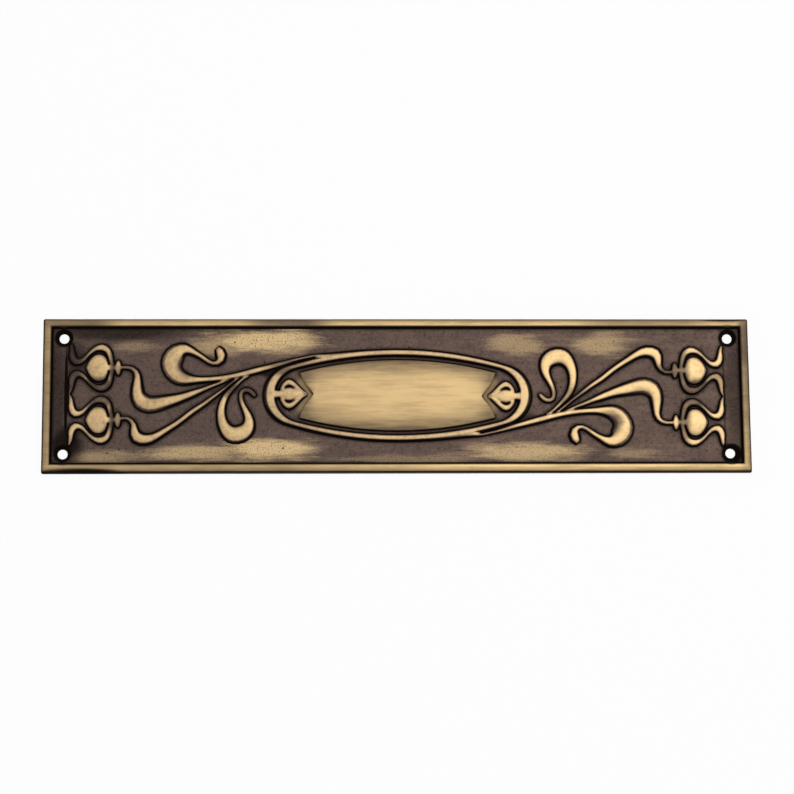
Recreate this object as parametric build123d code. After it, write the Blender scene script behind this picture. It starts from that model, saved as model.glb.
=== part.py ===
from build123d import *
import os
from math import hypot

# A cast finger plate for a door, lying on its flat back. Lengths are millimetres.
# X runs along the plate, Y across it, and Z out of the decorated face.

# Plate and rim
plate_length = 305.0
plate_width = 67.5
rim_crest = 4.4
field_height = 2.6
side_height = 1.6
rim_crown = 3.6
rim_wall_run = 0.7
corner_radius = 0.6

# Countersunk screw holes
hole_pitch_length = 287.0
hole_pitch_width = 50.5
hole_diameter = 4.2
countersink_diameter = 7.4

# Oval band: its crown, and how far its sides run out to the field
band_length = 112.8
band_width = 39.3
band_end_radius = 12.9
band_opening_radius = 12.3
band_crest = 4.3
band_crown_at_end = 3.3
band_crown_at_side = 1.95
band_outer_run_at_end = 1.8
band_outer_run_at_side = 0.8
band_inner_run = 0.65

# Plain pillow in the oval band, set off by a channel
channel_at_end = 1.9
channel_at_side = 1.3
pillow_wall_run = 0.5
pillow_crest = 4.2
pillow_end_height = 3.2
pillow_shoulder = 32.0
pillow_shoulder_height = 4.05
pillow_crown_radius = 133.0
pillow_notch_run = 0.6

# Ridges of the ornament: the wider a ridge, the nearer its height comes to full relief
full_relief = 1.9
half_relief_width = 0.5
branch_wall_share = 0.42
petal_wall_share = 0.3
bud_wall_share = 0.08
crown_rise = 0.14
root_depth = 0.25
branch_section_step = 1.9
petal_section_step = 1.35
least_sections = 9

# Places that the branches hang from
fork_past_band = 8.3
fork_y = -9.0
bead_from_end = 32.55
upper_tulip_y = 10.75
lower_tulip_y = -12.05
bud_y = -0.5

half_length = plate_length / 2
half_width = plate_width / 2
band_foot_end = band_length / 2 + band_outer_run_at_end
fork = (band_foot_end + fork_past_band, fork_y)
upper_bead = (half_length - bead_from_end, upper_tulip_y)
lower_bead = (half_length - bead_from_end, lower_tulip_y)
bud_root = (band_length / 2 - band_crown_at_end, bud_y)


def moved(stations, place):
    """Stations (x, y, half width) given from a place, in the plate's frame."""
    return [(place[0] + x, place[1] + y, width) for x, y, width in stations]


def mirrored(stations):
    """The same stations on the other side of the X axis."""
    return [(x, -y, width) for x, y, width in stations]


def rails(stations):
    """The two foot lines of a ridge through its stations, and the length between them."""
    middles = [Vector(x, y) for x, y, width in stations]
    guide = Spline(*middles)
    travelled = [0.0]
    for last, middle in zip(middles, middles[1:]):
        travelled.append(travelled[-1] + (middle - last).length)
    shares = [distance / travelled[-1] for distance in travelled]
    left, right = [], []
    for middle, (x, y, width) in zip(middles, stations):
        heading = guide.tangent_at(middle)
        across = Vector(-heading.Y, heading.X) * width
        left.append(middle + across)
        right.append(middle - across)
    left_rail = Edge.make_spline(left, parameters=shares).geom_adaptor()
    right_rail = Edge.make_spline(right, parameters=shares).geom_adaptor()
    return left_rail, right_rail, travelled[-1]


def ridge(stations, wall_share=branch_wall_share, section_step=branch_section_step):
    """A domed ridge on the field, lofted through its stations of x, y and half width."""
    left_rail, right_rail, length = rails(stations)
    steps = max(least_sections, round(length / section_step))
    outlines = []
    for step in range(steps + 1):
        left = Vector(left_rail.Value(step / steps))
        right = Vector(right_rail.Value(step / steps))
        middle = (left + right) / 2
        across = (left - right) / 2
        width = across.length
        relief = full_relief * width / (width + half_relief_width)
        edge_relief = relief - crown_rise * width * (1 - wall_share)
        root_spread = 1 + wall_share * root_depth / edge_relief
        root = Vector(0, 0, field_height - root_depth)
        edge = Vector(0, 0, field_height + edge_relief)
        crest = Vector(0, 0, field_height + relief)
        left_root = middle + across * root_spread + root
        left_edge = middle + across * (1 - wall_share) + edge
        right_edge = middle - across * (1 - wall_share) + edge
        right_root = middle - across * root_spread + root
        outlines.append(
            Wire([
                Edge.make_line(left_root, left_edge),
                Edge.make_three_point_arc(left_edge, middle + crest, right_edge),
                Edge.make_line(right_edge, right_root),
                Edge.make_line(right_root, left_root),
            ])
        )
    return Solid.make_loft(outlines, ruled=True)


def oval(half_long, half_wide, end_radius, height):
    """An oval of four arcs that meet in line, as a face at a height."""
    end_centre = half_long - end_radius
    flank_radius = (end_centre**2 + half_wide**2 - end_radius**2) / (2 * (half_wide - end_radius))
    flank_drop = flank_radius - half_wide
    apart = hypot(end_centre, flank_drop)
    meet_x = end_centre + end_radius * end_centre / apart
    meet_y = end_radius * flank_drop / apart
    outline = [
        ThreePointArc((-meet_x, meet_y), (0, half_wide), (meet_x, meet_y)),
        ThreePointArc((meet_x, meet_y), (half_long, 0), (meet_x, -meet_y)),
        ThreePointArc((meet_x, -meet_y), (0, -half_wide), (-meet_x, -meet_y)),
        ThreePointArc((-meet_x, -meet_y), (-half_long, 0), (-meet_x, meet_y)),
    ]
    return Pos(0, 0, height) * make_face(outline)


def oval_block(long_inset, wide_inset, top_radius, run_long, run_wide, top):
    """A block on an inset of the oval band's plan, its sides spread by the runs at the field."""
    rise = (top - field_height + root_depth) / (top - field_height)
    top_long = band_length / 2 - long_inset
    top_wide = band_width / 2 - wide_inset
    foot_long = top_long + run_long * rise
    foot_wide = top_wide + run_wide * rise
    foot_radius = top_radius + run_wide * rise
    foot = oval(foot_long, foot_wide, foot_radius, field_height - root_depth)
    return loft([foot, oval(top_long, top_wide, top_radius, top)], ruled=True)


def make_plate():
    """The plate with its quarter-round rim and the sunk field inside it."""
    outline = RectangleRounded(plate_length, plate_width, corner_radius)
    blank = extrude(outline, rim_crest)
    blank = fillet(blank.faces().sort_by(Axis.Z)[-1].edges(), rim_crest - side_height)
    crown = Rectangle(plate_length - 2 * rim_crown, plate_width - 2 * rim_crown)
    floor_inset = 2 * (rim_crown + rim_wall_run)
    floor = Rectangle(plate_length - floor_inset, plate_width - floor_inset)
    pocket = loft([Pos(0, 0, field_height) * floor, Pos(0, 0, rim_crest) * crown], ruled=True)
    return blank - pocket


def make_band():
    """The raised oval band, wider at its ends than along its sides."""
    outer = oval_block(
        0, 0, band_end_radius, band_outer_run_at_end, band_outer_run_at_side, band_crest
    )
    inner = oval_block(
        band_crown_at_end, band_crown_at_side, band_opening_radius,
        -band_inner_run, -band_inner_run, band_crest,
    )
    return outer - inner


def pillow_notch():
    """The V that the pillow's end leaves free around the small bud."""
    side = [(4.0, 10.4), (-10.4, 10.4), (-11.6, 7.0), (-13.2, 4.2), (-15.3, 1.4)]
    outline = side + [(-16.3, 0.0)] + [(x, -y) for x, y in reversed(side)]
    foot = make_face(Polyline(*outline, close=True))
    wider = offset(foot, pillow_notch_run, kind=Kind.INTERSECTION)
    top = Pos(0, 0, pillow_crest - field_height) * wider
    return Pos(*bud_root, field_height) * loft([foot, top], ruled=True)


def make_pillow():
    """The plain panel, domed across and falling away towards its notched ends."""
    side_inset = band_inner_run + channel_at_side + pillow_wall_run
    end_inset = band_inner_run + channel_at_end + pillow_wall_run
    block = oval_block(
        band_crown_at_end + end_inset, band_crown_at_side + side_inset,
        band_opening_radius - side_inset, pillow_wall_run, pillow_wall_run, pillow_crest,
    )
    reach = band_length / 2
    crest_line = Spline(
        (-reach, 0, pillow_end_height),
        (-pillow_shoulder, 0, pillow_shoulder_height),
        (0, 0, pillow_crest),
        (pillow_shoulder, 0, pillow_shoulder_height),
        (reach, 0, pillow_end_height),
    )
    depth = pillow_crest - pillow_crown_radius
    profile = make_face([
        crest_line,
        Line((reach, 0, pillow_end_height), (reach, 0, depth)),
        Line((reach, 0, depth), (-reach, 0, depth)),
        Line((-reach, 0, depth), (-reach, 0, pillow_end_height)),
    ])
    vault = revolve(profile, Axis((0, 0, depth), (1, 0, 0)))
    notch = pillow_notch()
    return (block & vault) - [notch, notch.rotate(Axis.Z, 180)]


def make_tulip(bead):
    """A tulip that points to the plate's end, from the bead on its neck."""
    petal = [
        (2.6, 1.2, 1.0), (3.3, 4.0, 1.3), (3.9, 6.2, 1.5), (5.1, 8.0, 1.75), (7.3, 8.9, 1.85),
        (9.8, 8.3, 1.3), (12.1, 6.6, 0.9), (14.1, 4.5, 0.95), (16.1, 2.9, 1.4),
        (18.3, 2.8, 2.0), (19.7, 4.8, 1.8), (20.0, 7.4, 1.3), (20.3, 9.6, 0.9), (21.0, 11.3, 0.4),
    ]
    bud = [
        (4.4, 0, 2.4), (5.1, 0, 4.3), (6.3, 0, 5.7), (8.5, 0, 6.3), (10.6, 0, 5.6), (12.2, 0, 3.8),
        (13.3, 0, 1.9), (14.0, 0, 0.6),
    ]
    calyx = [(0.8, 0, 1.2), (2.8, 0, 1.7), (5.6, 0, 2.2)]
    knuckle = [(0, -3.5, 0.4), (0.05, -2.0, 1.4), (0.1, 0, 1.75), (0.05, 2.0, 1.4), (0, 3.5, 0.4)]
    return [
        ridge(moved(petal, bead), petal_wall_share, petal_section_step),
        ridge(moved(mirrored(petal), bead), petal_wall_share, petal_section_step),
        ridge(moved(bud, bead), bud_wall_share),
        ridge(moved(calyx, bead)),
        ridge(moved(knuckle, bead), petal_wall_share),
    ]


def make_end_bud():
    """The small bud on the pillow's end, joined to the band by its neck."""
    neck = [
        (1.2, 0, 3.6), (-0.6, 0, 2.3), (-2.4, 0, 1.9), (-4.2, 0, 2.2), (-5.4, 0, 2.5),
    ]
    lobe = [
        (-3.2, 1.6, 0.9), (-4.0, 3.6, 1.2), (-6.3, 5.2, 1.75), (-8.9, 3.8, 1.4),
        (-11.3, 1.8, 0.95), (-14.2, 0.3, 0.4),
    ]
    bud = [
        (-3.4, 0, 1.6), (-4.8, 0, 2.7), (-6.6, 0, 3.15), (-8.5, 0, 2.5), (-10.2, 0, 1.35),
        (-11.5, 0, 0.75), (-12.8, 0, 0.35),
    ]
    return [
        ridge(moved(neck, bud_root), petal_wall_share),
        ridge(moved(lobe, bud_root), petal_wall_share, petal_section_step),
        ridge(moved(mirrored(lobe), bud_root), petal_wall_share, petal_section_step),
        ridge(moved(bud, bud_root), bud_wall_share),
    ]


def make_branches():
    """The stem that leaves the band, its scroll, its loop and the two tulip stalks."""
    stem = [
        (8.0, -18.7, 1.4), (20.0, -17.75, 1.85), (28.0, -16.8, 2.05), (31.5, -16.75, 1.8),
        (33.4, -16.95, 1.45), (35.0, -17.35, 0.8), (37.0, -17.1, 0.7), (40.0, -16.45, 0.7),
        (44.0, -15.5, 0.85), (50.0, -13.75, 1.3), (56.0, -12.1, 1.6),
    ]
    scroll = [
        (-4.5, -1.5, 1.75), (1.5, 0.0, 1.6), (7.5, 1.2, 1.5), (13.5, 1.9, 1.5), (21.0, 2.2, 2.1),
        (28.0, 0.5, 4.1), (30.8, -4.7, 5.0), (28.5, -9.5, 4.6), (24.9, -11.3, 2.95),
        (21.5, -10.05, 1.8), (17.5, -7.7, 1.35), (14.5, -5.6, 1.2), (12.0, -4.9, 1.3),
        (9.7, -6.4, 2.1), (9.4, -8.3, 2.75), (10.0, -10.2, 2.5), (11.1, -11.7, 1.6),
    ]
    long_stalk_root = [
        (0.5, -0.2, 0.5), (5.0, 1.5, 0.65), (9.5, 3.5, 0.8), (13.5, 5.0, 1.0), (17.5, 6.65, 1.3),
        (21.5, 8.2, 1.85), (25.5, 9.7, 2.2), (29.5, 10.9, 2.8),
    ]
    long_stalk_tip = [
        (-19.95, 14.95, 3.3), (-15.95, 15.85, 3.8), (-12.65, 15.95, 4.1), (-9.75, 14.35, 4.1),
        (-8.25, 11.25, 3.3), (-8.15, 7.55, 2.7), (-8.2, 5.05, 2.15), (-7.65, 2.05, 1.65),
        (-5.65, 0.25, 1.2), (-2.95, -0.2, 1.05), (-0.4, 0.0, 0.9),
    ]
    short_stalk_root = [
        (0.5, 0.4, 0.5), (5.4, 4.0, 0.65), (9.3, 7.2, 0.8), (13.3, 10.2, 1.05), (17.3, 13.2, 1.3),
        (21.3, 15.85, 1.45), (25.3, 19.0, 1.5), (29.4, 22.0, 1.55),
    ]
    short_stalk_tip = [
        (-19.95, 4.85, 1.75), (-15.95, 7.25, 2.15), (-11.45, 8.45, 2.9), (-7.95, 7.15, 3.2),
        (-7.05, 4.65, 2.4), (-6.9, 2.6, 1.8), (-5.6, 0.3, 1.3), (-3.95, -0.75, 1.1),
        (-2.2, -0.8, 1.0), (-0.4, -0.4, 0.9),
    ]
    loop = [
        (-2.5, 0.4, 0.6), (0.8, 2.5, 0.8), (3.7, 5.3, 1.0), (7.1, 9.2, 1.5), (8.8, 13.0, 1.9),
        (9.3, 17.5, 2.2), (8.1, 22.3, 2.9), (4.9, 25.8, 4.1), (1.0, 25.7, 4.2), (-2.2, 22.9, 3.4),
        (-2.6, 19.6, 2.4), (-1.5, 16.4, 1.75), (0.1, 13.0, 1.3), (0.9, 9.8, 1.15),
        (0.2, 7.2, 1.15), (-2.0, 6.7, 1.2), (-4.0, 7.9, 1.2), (-5.3, 9.5, 0.9),
    ]
    upper_stalk = moved(short_stalk_root, fork) + moved(short_stalk_tip, upper_bead)
    lower_stalk = moved(long_stalk_root, fork) + moved(long_stalk_tip, lower_bead)
    return [
        ridge(stem + moved(scroll, fork)),
        ridge(lower_stalk),
        ridge(upper_stalk),
        ridge(moved(loop, fork), petal_wall_share, petal_section_step),
    ]


def screw_hole():
    """What a countersunk screw's hole takes out of the field."""
    head_depth = (countersink_diameter - hole_diameter) / 2
    cone = Cone(
        hole_diameter / 2,
        countersink_diameter / 2 + rim_crest - field_height,
        head_depth + rim_crest - field_height,
        align=(Align.CENTER, Align.CENTER, Align.MIN),
    )
    shank = Cylinder(hole_diameter / 2, 2 * rim_crest)
    return shank + Pos(0, 0, field_height - head_depth) * cone


ornament = make_branches() + make_end_bud() + make_tulip(upper_bead) + make_tulip(lower_bead)
turned = [piece.rotate(Axis.Z, 180) for piece in ornament]
door_plate = make_plate() + [make_band(), make_pillow()] + ornament + turned
for corner in GridLocations(hole_pitch_length, hole_pitch_width, 2, 2):
    door_plate -= corner * screw_hole()

os.makedirs("parts", exist_ok=True)
export_step(door_plate, "parts/door_plate.step")
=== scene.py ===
import bpy
from bpy.props import FloatProperty, FloatVectorProperty, IntProperty, PointerProperty
from bpy.types import Operator, Panel, PropertyGroup
from mathutils import Euler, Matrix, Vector


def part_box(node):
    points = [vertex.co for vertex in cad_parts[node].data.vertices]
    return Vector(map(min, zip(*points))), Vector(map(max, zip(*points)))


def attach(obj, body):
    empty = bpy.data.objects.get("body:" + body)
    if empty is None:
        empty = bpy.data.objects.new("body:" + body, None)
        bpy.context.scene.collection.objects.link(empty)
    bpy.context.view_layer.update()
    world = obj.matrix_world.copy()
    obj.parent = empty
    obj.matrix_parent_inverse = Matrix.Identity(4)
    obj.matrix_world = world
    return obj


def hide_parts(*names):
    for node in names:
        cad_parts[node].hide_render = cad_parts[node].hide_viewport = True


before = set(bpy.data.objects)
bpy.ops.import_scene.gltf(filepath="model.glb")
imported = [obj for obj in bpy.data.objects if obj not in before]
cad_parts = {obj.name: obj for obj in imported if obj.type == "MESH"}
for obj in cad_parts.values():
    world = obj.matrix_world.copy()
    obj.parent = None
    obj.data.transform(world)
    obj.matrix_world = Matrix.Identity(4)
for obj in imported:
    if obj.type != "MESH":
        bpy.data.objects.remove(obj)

bl_info = {
    "name": "Cast Door Plate",
    "version": (1, 0, 0),
    "blender": (4, 5, 0),
    "location": "3D View > Sidebar > Door Plate",
    "description": "Makes the cast skin, the antique brass and the studio of a finger plate",
    "category": "Object",
}

PLATE_NODE = "door_plate"
BODY = "root"

# Lengths are metres. The plate lies on z = 0, its long side on X and its middle on the origin,
# and its sunk field is at this height.
MM = 0.001
FIELD_HEIGHT = 0.0026
PLATE_LOW, PLATE_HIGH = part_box(PLATE_NODE)

# The cast skin: how close points are merged, how thick a layer at the back stays flat, how high
# the pinholes reach, where a pinhole's bowl starts and ends in its cell, and how many times the
# walls' slope is blurred for each measure of it
MERGE_WITHIN = 0.001 * MM
FLAT_BACK = 0.3 * MM
PINHOLES_BELOW = FIELD_HEIGHT + 0.4 * MM
PINHOLE_BOWL = (0.05, 0.26)
SLOPE_BLURS = (("steep", 5), ("near_walls", 16))

# Ovals about the middle, as half length and half width: the channel inside the oval band, and
# one drawn out along the plate that tells how near the pillow's long edges are
CHANNEL_OVAL = (0.050, 0.017)
PILLOW_OVAL = (0.075, 0.0165)

# The pillow's notched ends: where a notch's point lies on X, and how far it opens along X for
# each metre across the plate
NOTCH_POINT = 0.0374
NOTCH_OPENING = 0.55

# The studio: the floor's half side and how far it lies below the plate, the lamp's width and
# place, and the camera's sensor in millimetres
FLOOR_HALF = 3.0
FLOOR_DROP = 0.1 * MM
LAMP_SIZE = 0.9
LAMP_PLACE = (0.30, 0.28, 0.92)
SENSOR_WIDTH = 36.0
WHITE = (1.0, 1.0, 1.0, 1.0)

# Soft places in the tables below: middle x and y, half length, half width, strength

# Where hands have rubbed the field bright
RUBBED_PLACES = (
    (-0.0570, 0.0243, 0.0290, 0.0066, 1.00), (-0.0780, 0.0215, 0.0160, 0.0052, 0.60),
    (-0.1120, 0.0215, 0.0120, 0.0034, 0.30), (-0.0560, -0.0235, 0.0250, 0.0060, 1.00),
    (-0.0850, -0.0250, 0.0260, 0.0042, 0.72), (-0.1280, -0.0264, 0.0200, 0.0032, 0.45),
    (0.0550, -0.0248, 0.0330, 0.0052, 0.78), (0.0520, 0.0222, 0.0150, 0.0056, 0.52),
    (0.0890, 0.0226, 0.0160, 0.0060, 0.58), (0.0100, -0.0280, 0.0420, 0.0024, 0.28),
    (0.1020, -0.0252, 0.0150, 0.0024, 0.38),
)

# Where the raised work has kept its brown, and where it is painted brown as painted shade: on
# stretches of the rim, as painted shadow at two of its outer edges, and on the inner sides of
# the curls
DULL_AND_SHADED_PLACES = (
    (-0.1400, 0.0180, 0.0075, 0.0085, 1.00), (-0.1290, 0.0040, 0.0125, 0.0046, 1.00),
    (-0.1390, 0.0062, 0.0066, 0.0075, 1.00), (-0.1280, -0.0028, 0.0095, 0.0034, 0.90),
    (-0.1222, 0.0000, 0.0020, 0.0280, 1.00), (-0.1165, 0.0105, 0.0055, 0.0050, 0.65),
    (-0.1180, -0.0115, 0.0055, 0.0045, 0.60), (-0.0715, 0.0025, 0.0035, 0.0058, 0.85),
    (-0.0630, 0.0020, 0.0065, 0.0060, 0.90), (-0.0500, 0.0140, 0.0130, 0.0024, 0.60),
    (-0.0485, 0.0105, 0.0055, 0.0028, 0.70), (-0.0560, 0.0155, 0.0100, 0.0020, 0.60),
    (0.1290, 0.0030, 0.0115, 0.0046, 0.95), (0.1285, -0.0030, 0.0090, 0.0036, 0.90),
    (0.1380, 0.0058, 0.0050, 0.0050, 0.50), (0.1180, 0.0110, 0.0065, 0.0050, 0.85),
    (0.1222, 0.0000, 0.0020, 0.0280, 0.85), (-0.0470, 0.0318, 0.0190, 0.0042, 0.80),
    (-0.0850, -0.0318, 0.0950, 0.0040, 0.22), (-0.1505, 0.0000, 0.0040, 0.0450, 0.30),
    (0.1505, -0.0020, 0.0040, 0.0450, 0.46), (-0.1360, -0.0338, 0.0220, 0.0025, 1.00),
    (0.1420, 0.0342, 0.0150, 0.0024, 1.00), (-0.1400, 0.0318, 0.0200, 0.0045, 0.62),
    (0.1080, 0.0318, 0.0300, 0.0045, 0.48), (-0.0745, 0.0115, 0.0120, 0.0045, 0.35),
    (0.1505, 0.0230, 0.0040, 0.0150, 0.80), (-0.1505, 0.0220, 0.0040, 0.0150, 0.30),
    (0.0727, 0.0000, 0.0110, 0.0050, 0.50), (0.1235, 0.0000, 0.0036, 0.0280, 0.80),
    (0.0915, -0.0125, 0.0062, 0.0062, 1.00), (-0.0905, 0.0125, 0.0060, 0.0062, 0.75),
    (0.0697, 0.0105, 0.0045, 0.0048, 0.80), (-0.0697, -0.0105, 0.0045, 0.0048, 0.80),
    (0.1045, -0.0030, 0.0065, 0.0060, 0.90), (-0.1045, 0.0030, 0.0065, 0.0060, 0.90),
    (0.1070, 0.0125, 0.0055, 0.0050, 0.80), (-0.1070, -0.0125, 0.0055, 0.0050, 0.80),
)

# Where the field is painted darker as painted shade, and where it is black: round the screw
# holes, beside the tulips' tips, and at two edges of the rim as painted shadow
PAINTED_SHADE_PLACES = (
    (-0.1465, 0.0000, 0.0060, 0.0330, 0.60), (-0.1390, 0.0160, 0.0080, 0.0100, 0.55),
    (-0.0560, 0.0105, 0.0060, 0.0030, 0.80), (-0.1200, 0.0280, 0.0330, 0.0050, 0.70),
    (-0.1420, -0.0215, 0.0090, 0.0110, 0.92), (0.1465, 0.0020, 0.0060, 0.0300, 0.55),
    (0.0560, -0.0105, 0.0060, 0.0030, 0.60),
)
BLACK_PLACES = (
    (-0.1435, 0.02525, 0.0045, 0.0045, 1.00), (-0.1435, -0.02525, 0.0045, 0.0045, 1.00),
    (0.1435, 0.02525, 0.0045, 0.0045, 1.00), (0.1440, -0.02575, 0.0052, 0.0052, 1.00),
    # These two rows are painted shadow along the rim's outer edges
    (-0.1360, -0.0338, 0.0220, 0.0025, 1.00), (0.1420, 0.0342, 0.0150, 0.0022, 1.00),
    (-0.1423, 0.0005, 0.0009, 0.0220, 1.00), (0.1413, 0.0000, 0.0007, 0.0195, 0.60),
)

# How far brushing breaks the edges of a table's places, and where they start and stop fading
PLACES = {
    "rubbed": (RUBBED_PLACES, 1.0, 0.32, 1.12),
    "dull_and_shaded": (DULL_AND_SHADED_PLACES, 0.3, 0.40, 1.20),
    "painted_shade": (PAINTED_SHADE_PLACES, 0.3, 0.40, 1.20),
    "black": (BLACK_PLACES, 0.2, 0.75, 1.05),
}

# Noises of the brass: how much X counts in them (less draws them out along the plate), and
# their size, detail and roughness
NOISES = {
    "cloud": (1.0, 0.009, 4.0, 0.55),
    "mottle": (1.0, 0.0016, 5.0, 0.65),
    "speck": (1.0, 0.0005, 3.0, 0.6),
    "smear": (0.16, 0.0030, 4.0, 0.6),
    "brush": (0.05, 0.0007, 3.0, 0.6),
}

# Brushing is this much smear and this much brush, and breaks edges by this much
SMEAR_SHARE, BRUSH_SHARE = 0.7, 0.3
EDGE_BREAK = 1.9

# Soft steps in the tables below: a measure of the point, where the step starts, where it is
# full, and its share there. Rise, inset, before_end and from_end are in millimetres.
STEPS = {
    "on rim": ("inset", 4.5, 4.1, 1.0),
    "in oval": ("out", 1.045, 1.030, 1.0),
    "in channel": ("out", 1.00, 0.88, 1.0),
    "past notch": ("before_end", -4.5, -1.5, 1.0),
    "up to notch": ("before_end", 1.5, 0.3, 1.0),
    "within notch": ("before_end", -0.5, 0.0, 1.0),
    "at notch": ("from_end", 1.6, 0.6, 0.85),
    "right": ("x", -0.06, 0.05, 1.0),
    "low": ("y", 0.01, -0.02, 1.0),
    "raised": ("rise", 0.45, 0.95, 1.0),
    "speckled": ("speck", 0.46, 0.34, 0.90),
    "clear of walls": ("steep", 0.15, 0.02, 1.0),
    "wall dirt": ("steep", 0.04, 0.14, 1.0),
    "hollow dirt": ("hollow", 0.08, 0.32, 1.0),
    "sunk dirt": ("rise", -0.05, -0.2, 1.0),
    "side wall": ("inset", 0.30, 0.15, 1.0),
    "back": ("rise", -2.30, -2.50, 1.0),
}

# Steps that are added up: how brown the polished work is, with painted shade browner towards the
# left end, and how dark the pillow is, by its brushed streaks and by painted shade
WEAR_AND_SHADE = (
    ("cloud", 0.40, 0.75, 0.18), ("mottle", 0.55, 0.35, 0.22),
    # The step on x is painted shade, browner towards the left end
    ("x", 0.11, -0.10, 0.28), ("out", 1.35, 1.25, 0.14),
)
PILLOW_SHADE = (("brushed", 0.38, 0.66, 0.32), ("to_edge", 0.40, 0.95, 0.85))

# The pillow's ends are painted darker, as painted shade with kept patina, by this share over a
# run in millimetres, which grows across the plate
END_SHADE = 0.38
END_RUN = 1.8

# Layers of colour, each laid over the ones before it: a step, and its colour
PATINA_LAYERS = (
    ("cloud", 0.35, 0.65, 0.45, "slate"), ("brushed", 0.40, 0.62, 0.50, "slate"),
    # The slate step on x is painted shade, darker towards the left end
    ("x", 0.11, -0.14, 0.60, "slate"), ("mottle", 0.55, 0.30, 0.40, "soot_and_shade"),
    ("speck", 0.46, 0.34, 0.30, "soot_and_shade"), ("speck", 0.52, 0.76, 0.18, "rubbed"),
    # The near_walls step is painted shade in the field beside the raised work
    ("near_walls", 0.008, 0.07, 0.55, "soot_and_shade"),
)
GOLD_LAYERS = (
    # The near_walls step is painted shade along the raised work's edges
    ("near_walls", 0.03, 0.13, 0.40, "brown"), ("steep", 0.025, 0.13, 0.75, "brown"),
)
RIM_LAYERS = (
    # After the brushed streaks, the inset steps are painted shade down both sides of the rim
    ("brushed", 0.38, 0.64, 0.30, "soot_and_shade"), ("inset", 1.7, 0.3, 0.85, "slate"),
    ("inset", 0.8, 0.2, 0.60, "soot_and_shade"), ("inset", 2.8, 3.8, 0.97, "soot_and_shade"),
)

# How upright a surface is where it starts to be polished and where it is fully polished
WORK_SLOPES = (0.66, 0.90)
RIM_SLOPES = (0.45, 0.75)

# How much panel colour is in the notches' darkest pillow colour, how much polish the dull places
# and the painted-shade places lose, how dark a pinhole is and where its stain starts to fade and
# ends, and how clean the sides and the back stay
NOTCH_PALENESS = 0.22
DULL_AND_SHADE_SHARE = 0.95
PINHOLE_DIRT = 0.7
PINHOLE_STAIN = (0.10, 0.24)
SIDE_CLEANNESS = 0.85

# The shader's values, from bare patina to bright metal, and its gloss, from clean to dark with
# dirt and painted shade
RUBBED_METAL = 0.7
METALLIC = (0.1, 0.85)
ROUGHNESS = (0.62, 0.44)
ROUGHER_BY_MOTTLE = 0.1
GLOSS = (0.16, 0.03)
GRAIN_MOTTLE, GRAIN_SPECK = 0.6, 0.4
BUMP = {"Strength": 0.5, "Distance": 0.06 * MM}


class CastingSettings(PropertyGroup):
    """Sizes of the cast skin."""

    grain: FloatProperty(
        name="First Grain", description="Edge of the even mesh that the skin starts from",
        default=0.22 * MM, min=0.1 * MM, unit="LENGTH", subtype="DISTANCE",
    )
    softness: IntProperty(
        name="Softness", description="How many times the mould's corners are eased",
        default=3, min=0, max=20,
    )
    reach: IntProperty(
        name="Hollow Reach",
        description="How far the hollows look for the height around them, in grains",
        default=34, min=1, max=200,
    )
    wave_depth: FloatProperty(
        name="Wave Depth", description="How far the cast skin wanders from true",
        default=0.05 * MM, min=0.0, unit="LENGTH", subtype="DISTANCE",
    )
    wave_size: FloatProperty(
        name="Wave Size", description="Width of one wave of the cast skin",
        default=5.0 * MM, min=0.1 * MM, unit="LENGTH", subtype="DISTANCE",
    )
    pit_depth: FloatProperty(
        name="Pit Depth", description="Depth of the pinholes that the sand left",
        default=0.14 * MM, min=0.0, unit="LENGTH", subtype="DISTANCE",
    )
    pit_spacing: FloatProperty(
        name="Pit Spacing", description="Width of the cells that may hold one pinhole",
        default=2.6 * MM, min=0.2 * MM, unit="LENGTH", subtype="DISTANCE",
    )
    pit_share: FloatProperty(
        name="Pit Share", description="Share of the cells that hold a pinhole",
        default=0.16, min=0.0, max=1.0, subtype="FACTOR",
    )
    triangles: IntProperty(
        name="Triangles", description="About how many triangles the finished skin keeps",
        default=190000, min=20000, max=199000,
    )
    seed: IntProperty(name="Seed", description="Seed of the waves and pinholes", default=7)


class BrassSettings(PropertyGroup):
    """Colours of the antique brass."""

    brown: FloatVectorProperty(
        name="Brown", description="Colour of the patina on the field",
        default=(0.200, 0.128, 0.100), min=0.0, max=1.0, subtype="COLOR",
    )
    slate: FloatVectorProperty(
        name="Slate", description="Cooler colour that clouds the patina",
        default=(0.100, 0.066, 0.058), min=0.0, max=1.0, subtype="COLOR",
    )
    soot_and_shade: FloatVectorProperty(
        name="Soot", description="Colour of the dirt in the hollows",
        default=(0.0050, 0.0030, 0.0020), min=0.0, max=1.0, subtype="COLOR",
    )
    polished: FloatVectorProperty(
        name="Polished", description="Colour of the polished raised work",
        default=(0.92, 0.655, 0.315), min=0.0, max=1.0, subtype="COLOR",
    )
    tarnish: FloatVectorProperty(
        name="Tarnish", description="Darkest colour of the brushed pillow",
        default=(0.210, 0.147, 0.082), min=0.0, max=1.0, subtype="COLOR",
    )
    panel: FloatVectorProperty(
        name="Panel", description="Colour of the brushed pillow",
        default=(0.68, 0.48, 0.235), min=0.0, max=1.0, subtype="COLOR",
    )
    rim: FloatVectorProperty(
        name="Rim", description="Colour of the rim",
        default=(0.72, 0.51, 0.255), min=0.0, max=1.0, subtype="COLOR",
    )
    rubbed: FloatVectorProperty(
        name="Rubbed", description="Colour of the rubbed places on the field",
        default=(0.68, 0.49, 0.255), min=0.0, max=1.0, subtype="COLOR",
    )


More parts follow.
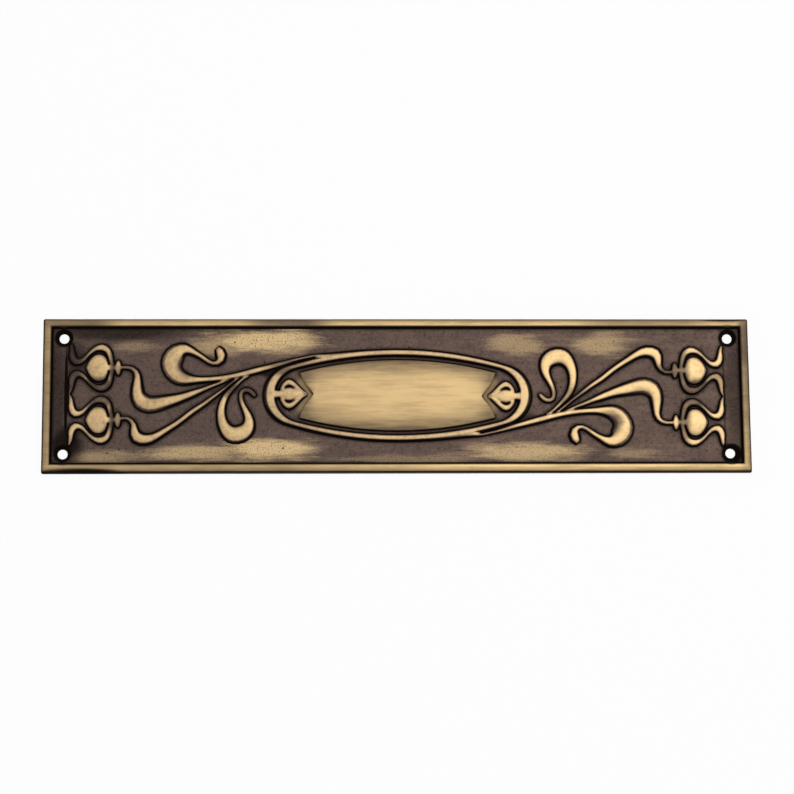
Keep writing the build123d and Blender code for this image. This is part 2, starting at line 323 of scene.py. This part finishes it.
class StudioSettings(PropertyGroup):
    """The floor, the lamps and the camera."""

    floor_colour: FloatVectorProperty(
        name="Floor", description="Colour of the floor",
        default=(0.93, 0.93, 0.93), min=0.0, max=1.0, subtype="COLOR",
    )
    floor_glow: FloatProperty(
        name="Floor Glow", description="Share of plain white in the floor as the camera sees it",
        default=0.93, min=0.0, max=1.0, subtype="FACTOR",
    )
    sky: FloatProperty(
        name="Sky", description="Strength of the even light from all round",
        default=0.66, min=0.0, subtype="FACTOR",
    )
    lamp: FloatProperty(
        name="Lamp", description="Power of the soft overhead lamp",
        default=2.7, min=0.0, unit="POWER",
    )
    camera_place: FloatVectorProperty(
        name="Camera Place", description="Where the camera stands",
        default=(-0.04002, -0.21882, 1.13889), subtype="TRANSLATION", unit="LENGTH",
    )
    camera_turn: FloatVectorProperty(
        name="Camera Turn", description="How the camera is turned from looking straight down",
        default=(0.18980, -0.03360, -0.00720), subtype="EULER", unit="ROTATION",
    )
    focal_length: FloatProperty(
        name="Focal Length", description="Focal length in millimetres on a 36 mm wide sensor",
        default=121.9, min=1.0, subtype="DISTANCE_CAMERA",
    )


class Tree:
    """A node tree being laid out from left to right, with short ways to add common nodes."""

    def __init__(self, tree):
        self.nodes, self.links = tree.nodes, tree.links
        self.column = 0

    def add(self, kind, inputs=(), **settings):
        """Adds a node, sets its properties, and links or sets its inputs by name or number."""
        node = self.nodes.new(kind)
        node.location = (220 * self.column, 0)
        self.column += 1
        for name, value in settings.items():
            setattr(node, name, value)
        for key, value in dict(inputs).items():
            self.feed(node.inputs[key], value)
        return node

    def feed(self, socket, value):
        """Links a socket to another node's output, or sets it to a plain value."""
        if isinstance(value, bpy.types.NodeSocket):
            self.links.new(value, socket)
        else:
            socket.default_value = value

    def math(self, operation, *values, clamp=False):
        """One value made of one or two others."""
        node = self.add(
            "ShaderNodeMath", enumerate(values), operation=operation, use_clamp=clamp,
        )
        return node.outputs[0]

    def chain(self, operation, first, *others):
        """Several values joined one after another by one operation."""
        for value in others:
            first = self.math(operation, first, value)
        return first

    def rest(self, share):
        """What a share leaves of the whole."""
        return self.math("SUBTRACT", 1.0, share)

    def in_mm(self, metres):
        """A length in millimetres."""
        return self.math("MULTIPLY", metres, 1.0 / MM)

    def vector(self, operation, *values):
        """One vector made of one or two others."""
        node = self.add("ShaderNodeVectorMath", enumerate(values), operation=operation)
        return node.outputs[0]

    def length(self, vector):
        """How long a vector is."""
        return self.add("ShaderNodeVectorMath", {0: vector}, operation="LENGTH").outputs["Value"]

    def parts(self, vector):
        """A vector's outputs X, Y and Z."""
        return self.add("ShaderNodeSeparateXYZ", {0: vector}).outputs

    def ramp(self, value, low, high, bottom=0.0, top=1.0):
        """A smooth step from bottom to top as the value goes from low to high."""
        inputs = {
            "Value": value, "From Min": low, "From Max": high, "To Min": bottom, "To Max": top,
        }
        node = self.add("ShaderNodeMapRange", inputs, interpolation_type="SMOOTHSTEP")
        return node.outputs["Result"]

    def blend(self, factor, first, second):
        """A mix of two colours."""
        node = self.add("ShaderNodeMix", data_type="RGBA")
        for number, value in ((0, factor), (6, first), (7, second)):
            self.feed(node.inputs[number], value)
        return node.outputs[2]

    def noise(self, place, stretch, size, detail, roughness):
        """Noise whose features are about the given size across the plate."""
        drawn_out = self.vector("MULTIPLY", place, (stretch, 1.0, 1.0))
        inputs = {
            "Vector": drawn_out, "Scale": 1.0 / size, "Detail": detail, "Roughness": roughness,
        }
        return self.add("ShaderNodeTexNoise", inputs).outputs[0]

    def blurred(self, value, times, data_type="FLOAT"):
        """A value averaged with its neighbours' so many times."""
        node = self.add("GeometryNodeBlurAttribute", {"Iterations": times}, data_type=data_type)
        self.feed(live(node.inputs), value)
        return live(node.outputs)


class Measures(dict):
    """Sockets of a tree, by name, that say where a point lies and what the noises are there."""

    def __init__(self, tree):
        super().__init__()
        self.tree = tree

    def step(self, name):
        """One of STEPS."""
        return self.climb(*STEPS[name])

    def climb(self, measure, start, full, share):
        """A smooth climb from nothing to the share."""
        return self.tree.ramp(self[measure], start, full, 0.0, share)

    def total(self, table):
        """The sum of a table's steps."""
        return self.tree.chain("ADD", *[self.climb(*row) for row in table])

    def layered(self, first, table, hues):
        """A colour with a table's layers over it."""
        for *step, hue in table:
            first = self.tree.blend(self.climb(*step), first, hues[hue])
        return first


def live(sockets):
    """The first socket called Value that the node's data type has switched on."""
    return next(socket for socket in sockets if socket.name == "Value" and socket.enabled)


def colour(values):
    """A colour property's three values with full opacity."""
    return (*values, 1.0)


def object_from(name, mesh):
    """A new object of a mesh, in the scene."""
    made = bpy.data.objects.new(name, mesh)
    bpy.context.scene.collection.objects.link(made)
    return made


def emptied(block):
    """The empty node tree of a new material or world."""
    block.use_nodes = True
    block.node_tree.nodes.clear()
    return Tree(block.node_tree)


def settled(piece, name):
    """The piece's mesh with its modifiers applied, as a new mesh, and the piece is gone."""
    graph = bpy.context.evaluated_depsgraph_get()
    mesh = bpy.data.meshes.new_from_object(
        piece.evaluated_get(graph), preserve_all_data_layers=True, depsgraph=graph,
    )
    bpy.data.objects.remove(piece)
    mesh.name = name
    return mesh


def skin_tree():
    """Geometry nodes that turn an even mesh into a cast skin, and measure hollows and walls."""
    group = bpy.data.node_groups.new("Cast Skin", "GeometryNodeTree")
    sockets = group.interface
    sockets.new_socket("Geometry", in_out="INPUT", socket_type="NodeSocketGeometry")
    for name, kind in (
        ("Softness", "Int"), ("Hollow Reach", "Int"), ("Wave Depth", "Float"),
        ("Wave Size", "Float"), ("Pit Depth", "Float"), ("Pit Spacing", "Float"),
        ("Pit Share", "Float"), ("Seed", "Int"), ("Lowest Corner", "Vector"),
        ("Highest Corner", "Vector"), ("Finish", "Material"),
    ):
        sockets.new_socket(name, in_out="INPUT", socket_type="NodeSocket" + kind)
    sockets.new_socket("Geometry", in_out="OUTPUT", socket_type="NodeSocketGeometry")
    tree = Tree(group)
    given = tree.add("NodeGroupInput").outputs
    place = tree.add("GeometryNodeInputPosition").outputs[0]

    # Ease the corners
    soft_place = tree.blurred(place, given["Softness"], data_type="FLOAT_VECTOR")
    inputs = {"Geometry": given["Geometry"], "Position": soft_place}
    skin = tree.add("GeometryNodeSetPosition", inputs).outputs[0]

    # Keep each point's depth below what surrounds it, and how steep its surroundings are
    height = tree.parts(place)["Z"]
    normal = tree.add("GeometryNodeInputNormal").outputs[0]
    slope = tree.rest(tree.parts(normal)["Z"])
    around = tree.blurred(height, given["Hollow Reach"])
    values = [("hollow", tree.in_mm(tree.math("SUBTRACT", around, height)))]
    values += [(name, tree.blurred(slope, times)) for name, times in SLOPE_BLURS]
    for name, value in values:
        store = tree.add(
            "GeometryNodeStoreNamedAttribute", {"Geometry": skin, "Name": name},
            data_type="FLOAT", domain="POINT",
        )
        tree.feed(live(store.inputs), value)
        skin = store.outputs["Geometry"]

    # Waves of the sand mould, and pinholes in some cells
    inputs = {
        "Vector": place, "W": given["Seed"], "Detail": 2.0,
        "Scale": tree.math("DIVIDE", 1.0, given["Wave Size"]),
    }
    wave = tree.add("ShaderNodeTexNoise", inputs, noise_dimensions="4D").outputs[0]
    swing = tree.math("MULTIPLY", given["Wave Depth"], 2.0)
    wander = tree.math("MULTIPLY", tree.math("SUBTRACT", wave, 0.5), swing)
    wander = tree.math("MULTIPLY", wander, tree.math("GREATER_THAN", height, FLAT_BACK))
    inputs = {
        "Vector": place, "W": given["Seed"],
        "Scale": tree.math("DIVIDE", 1.0, given["Pit Spacing"]),
    }
    cells = tree.add("ShaderNodeTexVoronoi", inputs, voronoi_dimensions="4D").outputs
    lot = tree.add("FunctionNodeSeparateColor", {0: cells["Color"]}).outputs[0]
    drawn = tree.math("LESS_THAN", lot, given["Pit Share"])
    in_field = tree.math("LESS_THAN", height, PINHOLES_BELOW)
    bowl = tree.ramp(cells["Distance"], *PINHOLE_BOWL, 1.0, 0.0)
    pit = tree.chain("MULTIPLY", bowl, drawn, in_field, given["Pit Depth"])
    offset = tree.add("ShaderNodeVectorMath", {0: normal}, operation="SCALE")
    tree.feed(offset.inputs["Scale"], tree.math("SUBTRACT", wander, pit))
    inputs = {"Geometry": skin, "Offset": offset.outputs[0]}
    skin = tree.add("GeometryNodeSetPosition", inputs).outputs[0]

    # Keep to the plate's box
    inside = tree.vector("MAXIMUM", place, given["Lowest Corner"])
    inside = tree.vector("MINIMUM", inside, given["Highest Corner"])
    inputs = {"Geometry": skin, "Position": inside}
    skin = tree.add("GeometryNodeSetPosition", inputs).outputs[0]
    skin = tree.add("GeometryNodeRealizeInstances", {"Geometry": skin}).outputs[0]
    inputs = {"Geometry": skin, "Material": given["Finish"]}
    skin = tree.add("GeometryNodeSetMaterial", inputs).outputs[0]
    tree.add("NodeGroupOutput", {0: skin})
    return group


def soft_places(tree, place, broken, table, breaking, core, fringe):
    """The strongest of a table's soft places at each point, their edges broken by brushing."""
    edge = tree.math("MULTIPLY", broken, breaking)
    found = 0.0
    for x, y, half_long, half_wide, strength in table:
        offset = tree.vector("SUBTRACT", place, (x, y, FIELD_HEIGHT))
        away = tree.length(tree.vector("DIVIDE", offset, (half_long, half_wide, 1.0)))
        here = tree.ramp(tree.math("ADD", away, edge), core, fringe, strength, 0.0)
        found = tree.math("MAXIMUM", found, here)
    return found


def brass_measures(tree, casting):
    """All that the brass's colours depend on."""
    at = Measures(tree)
    place = tree.add("ShaderNodeTexCoord").outputs["Object"]
    parts = tree.parts(place)
    at["x"], at["y"] = parts["X"], parts["Y"]
    at["upright"] = tree.parts(tree.add("ShaderNodeNewGeometry").outputs["Normal"])["Z"]
    for name in ("hollow", "steep", "near_walls"):
        at[name] = tree.add("ShaderNodeAttribute", attribute_name=name).outputs["Fac"]

    # Above the field, and in from the plate's nearest edge
    at["rise"] = tree.in_mm(tree.math("SUBTRACT", parts["Z"], FIELD_HEIGHT))
    aside_x, aside_y = tree.math("ABSOLUTE", at["x"]), tree.math("ABSOLUTE", at["y"])
    to_end = tree.math("SUBTRACT", PLATE_HIGH[0], aside_x)
    to_side = tree.math("SUBTRACT", PLATE_HIGH[1], aside_y)
    at["inset"] = tree.in_mm(tree.math("MINIMUM", to_end, to_side))

    # Inside the ovals, and before the pillow's notched ends
    for name, (half_long, half_wide) in (("out", CHANNEL_OVAL), ("to_edge", PILLOW_OVAL)):
        scale = (1.0 / half_long, 1.0 / half_wide, 0.0)
        at[name] = tree.length(tree.vector("MULTIPLY", place, scale))
    at["opened"] = tree.math("MULTIPLY", aside_y, NOTCH_OPENING)
    notch_at = tree.math("ADD", at["opened"], NOTCH_POINT)
    at["before_end"] = tree.in_mm(tree.math("SUBTRACT", notch_at, aside_x))
    at["from_end"] = tree.math("ABSOLUTE", at["before_end"])

    # Noises, and brushing, which follows the plate as a cloth does
    for name, shape in NOISES.items():
        at[name] = tree.noise(place, *shape)
    at["brushed"] = tree.math(
        "ADD", tree.math("MULTIPLY", at["smear"], SMEAR_SHARE),
        tree.math("MULTIPLY", at["brush"], BRUSH_SHARE),
    )

    # Pinholes of the skin, found by the same cells
    inputs = {"Vector": place, "W": casting.seed, "Scale": 1.0 / casting.pit_spacing}
    cells = tree.add("ShaderNodeTexVoronoi", inputs, voronoi_dimensions="4D").outputs
    lot = tree.add("ShaderNodeSeparateColor", {0: cells["Color"]}).outputs[0]
    stain = tree.ramp(cells["Distance"], *PINHOLE_STAIN, 1.0, 0.0)
    drawn = tree.math("LESS_THAN", lot, casting.pit_share)
    at["pinhole"] = tree.math("MULTIPLY", stain, drawn)

    broken = tree.math("MULTIPLY", tree.math("SUBTRACT", at["brushed"], 0.5), EDGE_BREAK)
    for name, found in PLACES.items():
        at[name] = soft_places(tree, place, broken, *found)
    return at


def patina_colour(tree, at, hues):
    """The field's patina, painted darker towards the left end as painted shade, and paler in the
    pillow's notches.
    """
    patina = at.layered(hues["brown"], PATINA_LAYERS, hues)
    notch = tree.chain(
        "MULTIPLY", at.step("past notch"), at.step("up to notch"), at.step("in channel"),
    )
    in_notch = tree.blend(NOTCH_PALENESS, hues["tarnish"], hues["panel"])
    return tree.blend(notch, patina, in_notch)


def gold_colour(tree, at, hues):
    """The raised work's gold, with the pillow and the rim."""
    gold = tree.blend(at.total(WEAR_AND_SHADE), hues["polished"], hues["brown"])
    gold = at.layered(gold, GOLD_LAYERS, hues)

    # The brushed pillow is darker towards its edges and its ends: painted shade, with patina
    # kept towards the ends
    run = tree.math("ADD", tree.math("MULTIPLY", at["opened"], END_RUN / MM), END_RUN)
    end_shade = tree.ramp(at["before_end"], run, 0.0, 0.0, END_SHADE)
    shade = tree.math("ADD", at.total(PILLOW_SHADE), end_shade, clamp=True)
    pillow = tree.blend(shade, hues["panel"], hues["tarnish"])
    on_pillow = tree.math("MULTIPLY", at.step("in oval"), at.step("within notch"))
    gold = tree.blend(on_pillow, gold, pillow)

    # The rim is painted brightest along its crown and low on the right as painted light, and
    # painted dark down both its sides as painted shade
    painted_rim_light = tree.math("MULTIPLY", at.step("right"), at.step("low"))
    rim = at.layered(tree.blend(painted_rim_light, hues["rim"], hues["polished"]), RIM_LAYERS, hues)
    return tree.blend(at.step("on rim"), gold, rim)


def brass_finish(tree, at):
    """How far each point is polished, rubbed, and darkened by dirt and by painted shade."""
    on_rim = at.step("on rim")
    slopes = [tree.ramp(on_rim, 0.0, 1.0, *pair) for pair in zip(WORK_SLOPES, RIM_SLOPES)]
    raised = tree.math("MULTIPLY", at.step("raised"), tree.ramp(at["upright"], *slopes))
    kept = tree.rest(tree.math("MULTIPLY", at["dull_and_shaded"], DULL_AND_SHADE_SHARE))
    polished = tree.math("MULTIPLY", raised, kept)
    whole = tree.rest(tree.math("MAXIMUM", at["pinhole"], at.step("speckled")))
    rubbed = tree.chain("MULTIPLY", at["rubbed"], whole, at.step("clear of walls"))

    # Dirt lies at the walls, in the hollows and in the pinholes, less on the sides and the back
    pinhole = tree.math("MULTIPLY", at["pinhole"], PINHOLE_DIRT)
    dirt = tree.chain(
        "MAXIMUM", at.step("wall dirt"), at.step("hollow dirt"), at.step("sunk dirt"), pinhole,
    )
    at_notch = tree.math("MULTIPLY", at.step("at notch"), at.step("in oval"))
    outside = tree.math("MAXIMUM", at.step("side wall"), at.step("back"))
    outside = tree.math("MULTIPLY", outside, SIDE_CLEANNESS)
    clean = tree.math("MAXIMUM", at_notch, outside)
    dirt = tree.chain("MULTIPLY", dirt, tree.rest(raised), tree.rest(clean))
    # The painted-shade places and the black places, with their painted shadow at two rim edges,
    # darken what is not polished
    shade_and_black = tree.math("MAXIMUM", at["painted_shade"], at["black"])
    shade_and_black = tree.math("MULTIPLY", shade_and_black, tree.rest(polished))
    return polished, rubbed, tree.math("MAXIMUM", dirt, shade_and_black)


def brass_material(casting, look):
    """Antique brass: brown in the field, soot in the hollows, polished on the raised work."""
    material = bpy.data.materials.new("Antique Brass")
    tree = emptied(material)
    hues = {name: colour(getattr(look, name)) for name in look.__annotations__}
    at = brass_measures(tree, casting)
    # dirt holds the dirt together with the painted shade and painted shadow of the shade and
    # black places
    polished, rubbed, dirt = brass_finish(tree, at)
    base = tree.blend(rubbed, patina_colour(tree, at, hues), hues["rubbed"])
    base = tree.blend(polished, base, gold_colour(tree, at, hues))
    # Dirt and painted shade turn the colour to soot
    base = tree.blend(dirt, base, hues["soot_and_shade"])

    metal = tree.math("MAXIMUM", polished, tree.math("MULTIPLY", rubbed, RUBBED_METAL))
    rough = tree.ramp(metal, 0.0, 1.0, *ROUGHNESS)
    rough = tree.math("ADD", rough, tree.math("MULTIPLY", at["mottle"], ROUGHER_BY_MOTTLE))
    grain = tree.math(
        "ADD", tree.math("MULTIPLY", at["mottle"], GRAIN_MOTTLE),
        tree.math("MULTIPLY", at["speck"], GRAIN_SPECK),
    )
    bump = tree.add("ShaderNodeBump", {**BUMP, "Height": grain})
    inputs = {
        "Base Color": base, "Metallic": tree.ramp(metal, 0.0, 1.0, *METALLIC),
        "Roughness": rough, "Specular IOR Level": tree.ramp(dirt, 0.0, 1.0, *GLOSS),
        "Normal": bump.outputs[0],
    }
    shader = tree.add("ShaderNodeBsdfPrincipled", inputs)
    tree.add("ShaderNodeOutputMaterial", {"Surface": shader.outputs[0]})
    return material


class DOORPLATE_OT_casting(Operator):
    """Cast the plate's skin from the frame's solid and finish it in antique brass"""

    bl_idname = "doorplate.casting"
    bl_label = "Cast Plate"

    def execute(self, context):
        sizes = context.scene.door_plate_casting
        finish = brass_material(sizes, context.scene.door_plate_brass)
        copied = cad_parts[PLATE_NODE].data.copy()
        copied.materials.clear()
        rough_cast = object_from("rough_cast", copied)
        weld = rough_cast.modifiers.new("Merge", "WELD")
        weld.merge_threshold = MERGE_WITHIN
        remesh = rough_cast.modifiers.new("Even Grain", "REMESH")
        remesh.mode = "VOXEL"
        remesh.voxel_size = sizes.grain
        remesh.use_smooth_shade = True
        group = skin_tree()
        skin = rough_cast.modifiers.new("Cast Skin", "NODES")
        skin.node_group = group
        values = {
            "Softness": sizes.softness, "Hollow Reach": sizes.reach,
            "Wave Depth": sizes.wave_depth, "Wave Size": sizes.wave_size,
            "Pit Depth": sizes.pit_depth, "Pit Spacing": sizes.pit_spacing,
            "Pit Share": sizes.pit_share, "Seed": sizes.seed,
            "Lowest Corner": tuple(PLATE_LOW), "Highest Corner": tuple(PLATE_HIGH),
            "Finish": finish,
        }
        for socket in group.interface.items_tree:
            if socket.in_out == "INPUT" and socket.name in values:
                skin[socket.identifier] = values[socket.name]
        fine = settled(rough_cast, "fine_cast")
        fine.calc_loop_triangles()
        held = len(fine.loop_triangles)
        thinned = object_from("thinned_cast", fine)
        thin = thinned.modifiers.new("Fewer Faces", "DECIMATE")
        thin.ratio = min(1.0, sizes.triangles / held)
        piece = object_from("cast_plate", settled(thinned, "cast_plate"))
        for vertex in piece.data.vertices:
            for axis in range(3):
                value = max(vertex.co[axis], PLATE_LOW[axis])
                vertex.co[axis] = min(value, PLATE_HIGH[axis])
        piece.data.shade_smooth()
        if not piece.data.attributes.get("hollow"):
            raise RuntimeError("the cast skin lost its measure of the hollows")
        print("cast_plate", held, "triangles thinned to", len(piece.data.polygons))
        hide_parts(PLATE_NODE)
        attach(piece, BODY)
        return {"FINISHED"}


class DOORPLATE_OT_studio(Operator):
    """Lay the pale floor and set up the lamps and the camera"""

    bl_idname = "doorplate.studio"
    bl_label = "Set Up Studio"

    def execute(self, context):
        look = context.scene.door_plate_studio
        self.floor(look)
        self.light(context.scene, look)
        self.camera(context.scene, look)
        context.scene.view_settings.view_transform = "Standard"
        return {"FINISHED"}

    def floor(self, look):
        """A wide floor that the camera sees nearly white and that takes the plate's shadow."""
        mesh = bpy.data.meshes.new("floor")
        turns = ((-1, -1), (1, -1), (1, 1), (-1, 1))
        corners = [(FLOOR_HALF * x, FLOOR_HALF * y, -FLOOR_DROP) for x, y in turns]
        mesh.from_pydata(corners, [], [(0, 1, 2, 3)])
        material = bpy.data.materials.new("Pale Floor")
        tree = emptied(material)
        rays = tree.add("ShaderNodeLightPath").outputs
        seen = tree.chain(
            "MAXIMUM", rays["Is Camera Ray"], rays["Is Glossy Ray"], rays["Is Transmission Ray"],
        )
        matt = tree.add("ShaderNodeBsdfDiffuse", {"Color": colour(look.floor_colour)})
        glow = tree.add("ShaderNodeEmission", {"Color": WHITE, "Strength": 1.0})
        share = tree.math("MULTIPLY", seen, look.floor_glow)
        inputs = {0: share, 1: matt.outputs[0], 2: glow.outputs[0]}
        both = tree.add("ShaderNodeMixShader", inputs)
        tree.add("ShaderNodeOutputMaterial", {"Surface": both.outputs[0]})
        mesh.materials.append(material)
        object_from("floor", mesh)

    def light(self, scene, look):
        """An even sky, and one large soft lamp overhead."""
        world = bpy.data.worlds.new("Studio")
        tree = emptied(world)
        rays = tree.add("ShaderNodeLightPath").outputs
        seen = tree.math("MAXIMUM", rays["Is Camera Ray"], rays["Is Transmission Ray"])
        even = tree.add("ShaderNodeBackground", {"Color": WHITE, "Strength": look.sky})
        white = tree.add("ShaderNodeBackground", {"Color": WHITE, "Strength": 1.0})
        inputs = {0: seen, 1: even.outputs[0], 2: white.outputs[0]}
        both = tree.add("ShaderNodeMixShader", inputs)
        tree.add("ShaderNodeOutputWorld", {"Surface": both.outputs[0]})
        scene.world = world
        lamp = bpy.data.lights.new("overhead", "AREA")
        lamp.shape = "DISK"
        lamp.size = LAMP_SIZE
        lamp.energy = look.lamp
        hung = bpy.data.objects.new("overhead", lamp)
        hung.location = LAMP_PLACE
        hung.rotation_euler = (-Vector(LAMP_PLACE)).to_track_quat("-Z", "Y").to_euler()
        scene.collection.objects.link(hung)

    def camera(self, scene, look):
        """A camera nearly overhead, as far away and turned as the photographer's."""
        lens = bpy.data.cameras.new("camera")
        lens.sensor_width = SENSOR_WIDTH
        lens.lens = look.focal_length
        lens.clip_start = 0.01
        eye = bpy.data.objects.new("camera", lens)
        eye.location = look.camera_place
        eye.rotation_euler = Euler(look.camera_turn)
        scene.collection.objects.link(eye)
        scene.camera = eye


class DOORPLATE_PT_sidebar(Panel):
    """Lists the sizes and colours, and the buttons that make the plate and the studio"""

    bl_idname = "DOORPLATE_PT_sidebar"
    bl_label = "Door Plate"
    bl_space_type = "VIEW_3D"
    bl_region_type = "UI"
    bl_category = "Door Plate"

    def draw(self, context):
        for group, operator in (
            ("door_plate_casting", None), ("door_plate_brass", DOORPLATE_OT_casting),
            ("door_plate_studio", DOORPLATE_OT_studio),
        ):
            settings = getattr(context.scene, group)
            box = self.layout.box()
            for name in settings.__annotations__:
                box.prop(settings, name)
            if operator:
                box.operator(operator.bl_idname)


CLASSES = (
    CastingSettings, BrassSettings, StudioSettings,
    DOORPLATE_OT_casting, DOORPLATE_OT_studio, DOORPLATE_PT_sidebar,
)


def register():
    for kind in CLASSES:
        bpy.utils.register_class(kind)
    bpy.types.Scene.door_plate_casting = PointerProperty(type=CastingSettings)
    bpy.types.Scene.door_plate_brass = PointerProperty(type=BrassSettings)
    bpy.types.Scene.door_plate_studio = PointerProperty(type=StudioSettings)


def unregister():
    del bpy.types.Scene.door_plate_studio
    del bpy.types.Scene.door_plate_brass
    del bpy.types.Scene.door_plate_casting
    for kind in reversed(CLASSES):
        bpy.utils.unregister_class(kind)


def main():
    register()
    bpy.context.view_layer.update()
    bpy.ops.doorplate.studio()
    bpy.ops.doorplate.casting()


if __name__ == "__main__":
    main()
